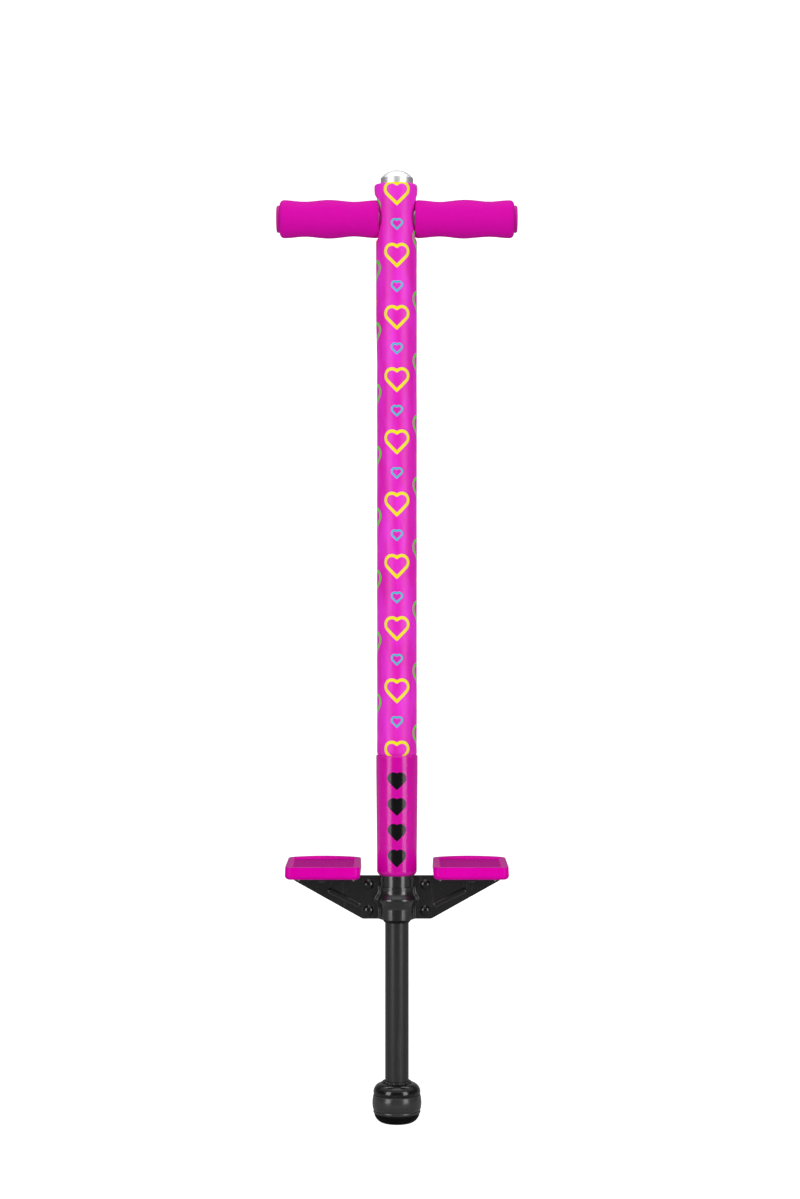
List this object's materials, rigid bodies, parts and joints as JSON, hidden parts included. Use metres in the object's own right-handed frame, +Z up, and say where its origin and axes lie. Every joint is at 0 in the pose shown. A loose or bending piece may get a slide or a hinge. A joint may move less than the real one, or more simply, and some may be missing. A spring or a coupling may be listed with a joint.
{
  "type": "pogo stick",
  "caption": "Child's pogo stick: foam-covered upright with a cross handlebar, foot pads on steel wings and a sprung shaft that slides up into the upright.",
  "frame": {"origin": "centre of the rubber tip's flat underside, where the stick stands on the ground", "axes": "+Z up along the upright, +X along the handlebar towards the right grip, -Y towards the labelled front"},
  "size_m": [0.234, 0.0836, 0.925],
  "materials": {
    "black_paint": "satin",
    "shaft_paint": "satin",
    "gloss_enamel": "gloss",
    "band_metal": "satin",
    "chrome": "polished",
    "bare_steel": "satin",
    "spring_steel": "satin",
    "black_screw": "satin",
    "grip_foam": "matte",
    "grip_plastic": "matte",
    "printed_foam": "matte",
    "guard_plastic": "gloss",
    "pedal_plastic": "gloss",
    "label_film": "satin",
    "black_nylon": "satin",
    "black_rubber": "matte"
  },
  "bodies": {
    "frame": {"outer_tube": "black_paint", "top_cap": "chrome", "handlebar": "bare_steel", "handlebar_weld": "bare_steel", "left_grip": "grip_foam", "right_grip": "grip_foam", "left_grip_cap": "grip_plastic", "right_grip_cap": "grip_plastic", "foam_sleeve": "printed_foam", "lower_guard": "guard_plastic", "guard_label": "label_film", "front_bracket": "black_paint", "rear_bracket": "black_paint", "bracket_rivets": "gloss_enamel", "left_pedal": "pedal_plastic", "right_pedal": "pedal_plastic", "pedal_screws": "black_screw", "guide_bush": "black_nylon", "bush_screws": "black_screw", "rebound_bumper": "black_rubber", "upper_spring_seat": "black_nylon", "stop_pin": "bare_steel", "main_spring": "spring_steel"},
    "spring_seat": {"lower_spring_seat": "black_nylon"},
    "shaft": {"shaft": "shaft_paint", "stop_collar": "bare_steel", "collar_pin": "bare_steel", "shaft_weld": "gloss_enamel", "foot_cup": "gloss_enamel", "tip_band": "band_metal", "rubber_tip": "black_rubber"}
  },
  "joints": [
    {"name": "shaft_slide", "type": "slide", "parent": "frame", "child": "spring_seat", "axis": [0, 0, 1], "range_m": [0, 0.085], "stiffness_N_per_m": 6000, "springref_m": -0.012, "deforming": ["main_spring"]},
    {"name": "shaft_spin", "type": "hinge", "parent": "spring_seat", "child": "shaft", "pos_m": [0, 0, 0.32], "axis": [0, 0, 1], "continuous": true}
  ]
}
